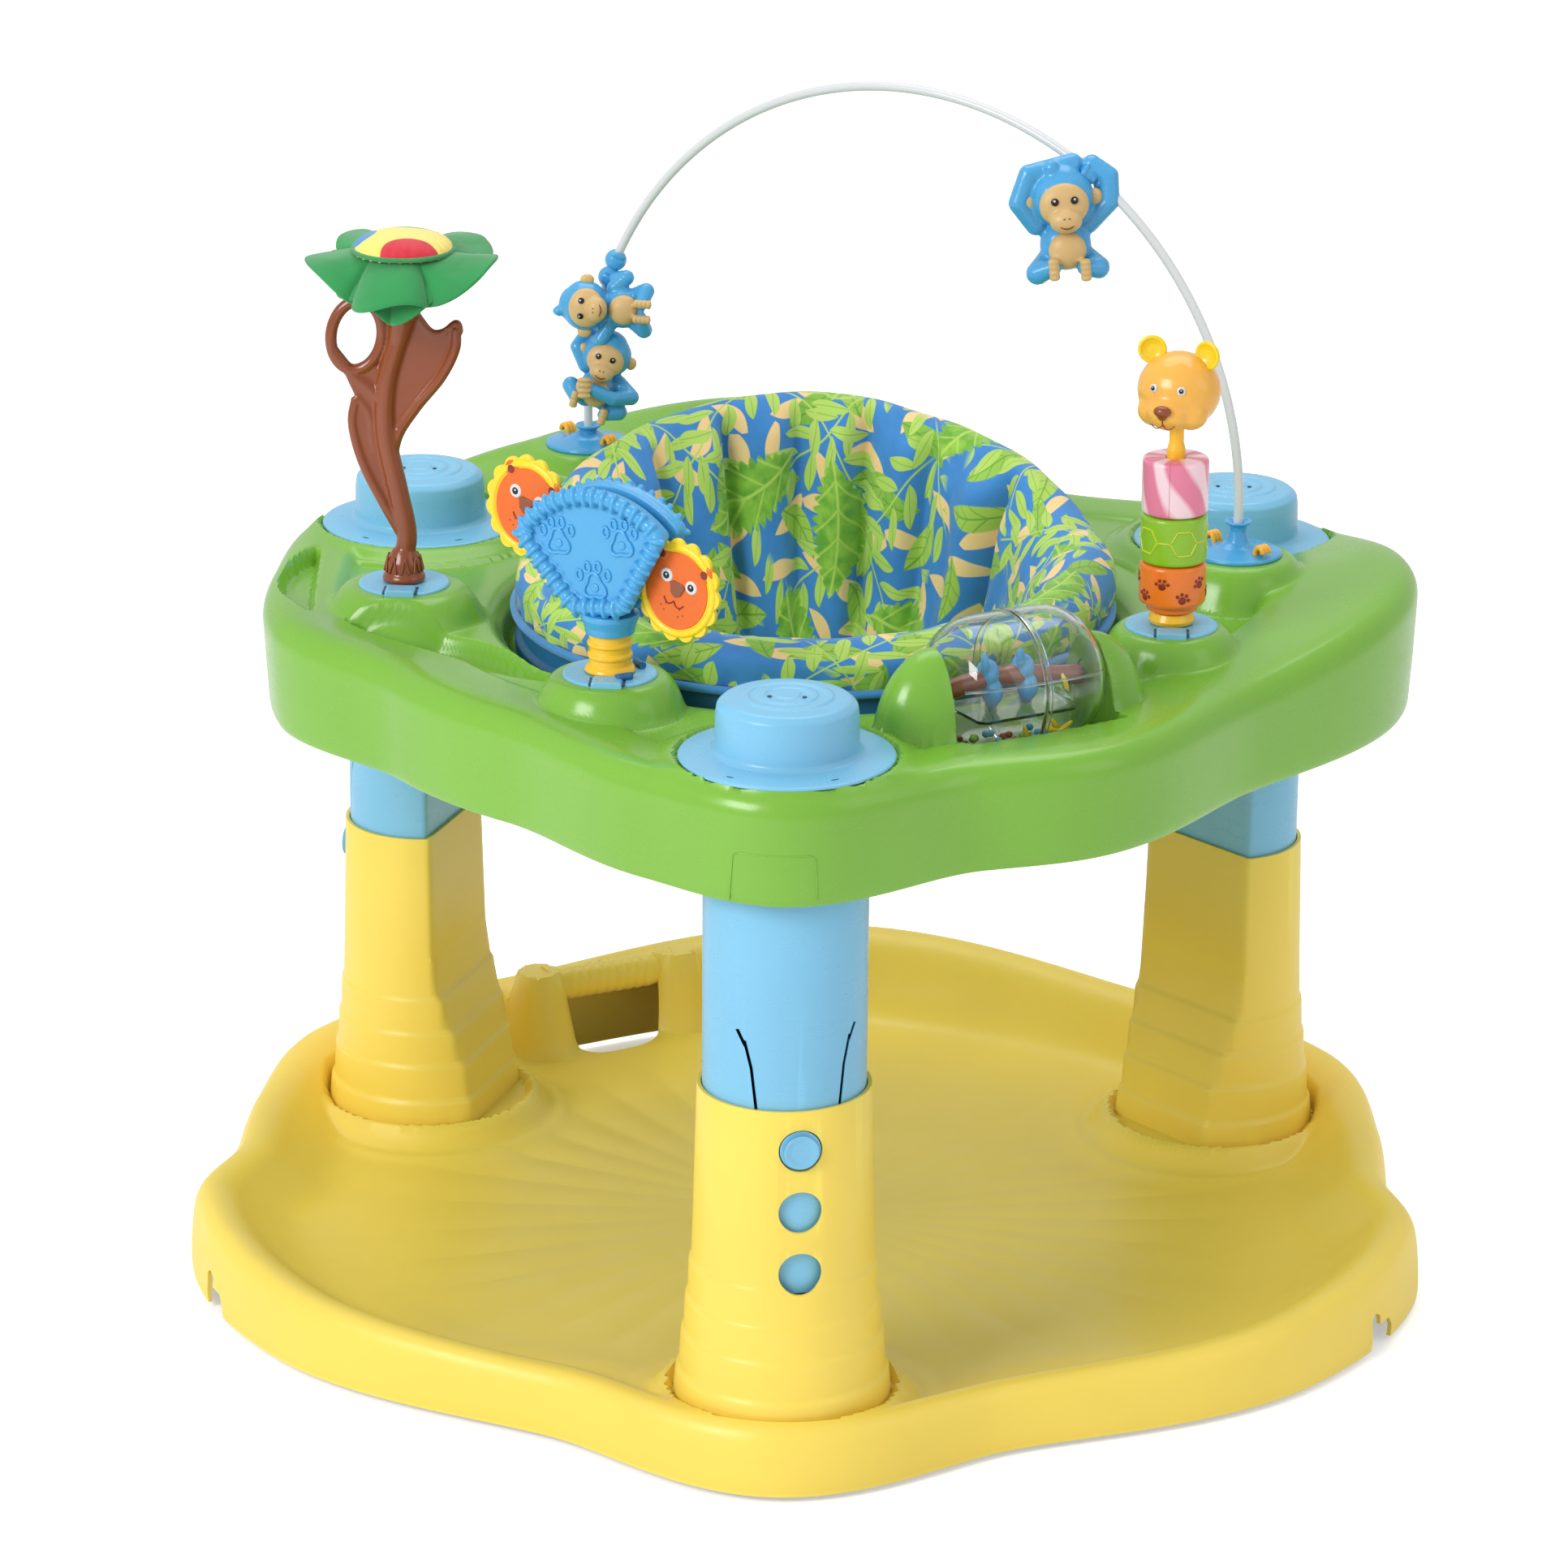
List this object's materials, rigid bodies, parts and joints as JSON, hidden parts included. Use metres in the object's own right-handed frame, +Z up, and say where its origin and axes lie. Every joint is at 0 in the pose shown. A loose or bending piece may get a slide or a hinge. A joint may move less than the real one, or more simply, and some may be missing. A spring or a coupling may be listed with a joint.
{
  "type": "activity jumper",
  "caption": "Stationary baby activity jumper: saucer base, telescopic spring legs, toy tray with rattles and an arch, and a padded swivel seat.",
  "frame": {"origin": "on the floor, at the centre of the hub pad under the saucer", "axes": "+Z up, front leg towards -Y, X to the right of a viewer facing the front leg"},
  "size_m": [0.7692, 0.7735, 0.72],
  "materials": {
    "base_yellow": "satin",
    "leg_blue": "satin",
    "tray_green": "gloss",
    "toy_blue": "gloss",
    "ring_blue": "satin",
    "steel": "plain",
    "plug_white": "plain",
    "seat_cloth": "printed",
    "petal_cloth": "woven",
    "pad_cloth": "woven",
    "bark_brown": "gloss",
    "lion_yellow": "gloss",
    "neck_yellow": "gloss",
    "orange": "gloss",
    "lime": "gloss",
    "pink": "gloss",
    "bear_yellow": "gloss",
    "clear": "clear",
    "bead_red": "gloss",
    "rod_white": "gloss",
    "clip_orange": "gloss",
    "tan": "gloss"
  },
  "bodies": {
    "base": {"base_saucer": "base_yellow", "stabiliser_pins": "steel", "sleeve_screws": "steel", "leg_sleeve_front": "base_yellow", "leg_sleeve_right": "base_yellow", "leg_sleeve_left": "base_yellow"},
    "legs": {"leg_tube_front": "leg_blue", "leg_tube_right": "leg_blue", "leg_tube_left": "leg_blue", "tube_plugs": "plug_white", "suspension_springs": "steel"},
    "tray": {"tray_shell": "tray_green", "spring_cap_front": "leg_blue", "spring_cap_right": "leg_blue", "spring_cap_left": "leg_blue", "tree_stem": "bark_brown", "flower_petals": "petal_cloth", "flower_pad": "pad_cloth", "tree_plug": "toy_blue", "fan_shell_front": "toy_blue", "fan_shell_rear": "toy_blue", "fan_axle": "steel", "fan_collar": "toy_blue", "fan_neck": "neck_yellow", "fan_plug": "toy_blue", "bear_post": "neck_yellow", "bear_plug": "toy_blue", "arch_rod": "rod_white", "arch_socket_right": "toy_blue", "arch_socket_left": "toy_blue", "arch_clips": "clip_orange", "drum_beads": "bead_red"},
    "seat": {"seat_ring": "ring_blue", "seat_retainer": "ring_blue", "retainer_screws": "steel", "seat_fabric": "seat_cloth"},
    "lion": {"lion_plate": "lion_yellow"},
    "ring_low": {"orange_ring": "orange"},
    "ring_mid": {"green_ring": "lime"},
    "ring_high": {"pink_ring": "pink"},
    "bear": {"bear_head": "bear_yellow"},
    "drum": {"drum_half_left": "clear", "drum_half_right": "clear", "drum_branch": "bark_brown", "drum_shelf": "clear"},
    "monkey_a": {"monkey_right": "toy_blue", "monkey_right_face": "tan"},
    "monkey_b": {"monkey_upper": "toy_blue", "monkey_upper_face": "tan"},
    "monkey_c": {"monkey_lower": "toy_blue", "monkey_lower_face": "tan"},
    "button_front": {"height_button_front": "leg_blue"},
    "button_right": {"height_button_right": "leg_blue"},
    "button_left": {"height_button_left": "leg_blue"},
    "foot_rear": {"stabiliser_foot_rear": "base_yellow"},
    "foot_left": {"stabiliser_foot_left": "base_yellow"},
    "foot_right": {"stabiliser_foot_right": "base_yellow"}
  },
  "joints": [
    {"name": "height_adjust", "type": "slide", "parent": "base", "child": "legs", "axis": [0, 0, 1], "range_m": [-0.076, 0], "deforming": ["height_button_front", "height_button_right", "height_button_left"]},
    {"name": "bounce", "type": "slide", "parent": "legs", "child": "tray", "axis": [0, 0, 1], "range_m": [-0.018, 0], "stiffness_N_per_m": 6000, "springref_m": 0.01, "deforming": ["suspension_springs"]},
    {"name": "button_press_front", "type": "slide", "parent": "legs", "child": "button_front", "axis": [-0.2419, 0.9703, 0], "range_m": [0, 0.006], "stiffness_N_per_m": 1500},
    {"name": "button_press_right", "type": "slide", "parent": "legs", "child": "button_right", "axis": [-0.7193, -0.6947, 0], "range_m": [0, 0.006], "stiffness_N_per_m": 1500},
    {"name": "button_press_left", "type": "slide", "parent": "legs", "child": "button_left", "axis": [0.9613, -0.2756, 0], "range_m": [0, 0.006], "stiffness_N_per_m": 1500},
    {"name": "foot_fold_rear", "type": "hinge", "parent": "base", "child": "foot_rear", "pos_m": [0, 0.338, 0.016], "axis": [-1, 0, 0], "range_deg": [0, 9]},
    {"name": "foot_fold_left", "type": "hinge", "parent": "base", "child": "foot_left", "pos_m": [-0.31555, -0.12113, 0.016], "axis": [0.3584, -0.9336, 0], "range_deg": [0, 9]},
    {"name": "foot_fold_right", "type": "hinge", "parent": "base", "child": "foot_right", "pos_m": [0.31555, -0.12113, 0.016], "axis": [0.3584, 0.9336, 0], "range_deg": [0, 9]},
    {"name": "seat_spin", "type": "hinge", "parent": "tray", "child": "seat", "pos_m": [0, 0, 0.4], "axis": [0, 0, 1], "continuous": true},
    {"name": "lion_swing", "type": "hinge", "parent": "tray", "child": "lion", "pos_m": [-0.11349, -0.2002, 0.52163], "axis": [0.5299, 0.848, 0], "range_deg": [-36, 10]},
    {"name": "ring_low_spin", "type": "hinge", "parent": "tray", "child": "ring_low", "pos_m": [0.2195, -0.083, 0.47], "axis": [0, 0, 1], "continuous": true},
    {"name": "ring_mid_spin", "type": "hinge", "parent": "tray", "child": "ring_mid", "pos_m": [0.2195, -0.083, 0.5], "axis": [0, 0, 1], "continuous": true},
    {"name": "ring_high_spin", "type": "hinge", "parent": "tray", "child": "ring_high", "pos_m": [0.2195, -0.083, 0.53], "axis": [0, 0, 1], "continuous": true},
    {"name": "bear_spin", "type": "hinge", "parent": "tray", "child": "bear", "pos_m": [0.2195, -0.083, 0.59], "axis": [0, 0, 1], "continuous": true},
    {"name": "drum_spin", "type": "hinge", "parent": "tray", "child": "drum", "pos_m": [0.1261, -0.19794, 0.446], "axis": [0.8434, 0.5373, 0], "continuous": true},
    {"name": "monkey_a_slide", "type": "hinge", "parent": "tray", "child": "monkey_a", "pos_m": [0.04965, 0.15835, 0.48], "axis": [-0.4562, -0.8899, 0], "range_deg": [-35, 30]},
    {"name": "monkey_b_slide", "type": "hinge", "parent": "tray", "child": "monkey_b", "pos_m": [0.04965, 0.15835, 0.48], "axis": [-0.4562, -0.8899, 0], "range_deg": [-45, 0]},
    {"name": "monkey_c_slide", "type": "hinge", "parent": "tray", "child": "monkey_c", "pos_m": [0.04965, 0.15835, 0.48], "axis": [-0.4562, -0.8899, 0], "range_deg": [-45, 0]}
  ],
  "couplings": [
    {"joint": "monkey_c_slide", "follows": "monkey_b_slide", "ratio": 1}
  ]
}
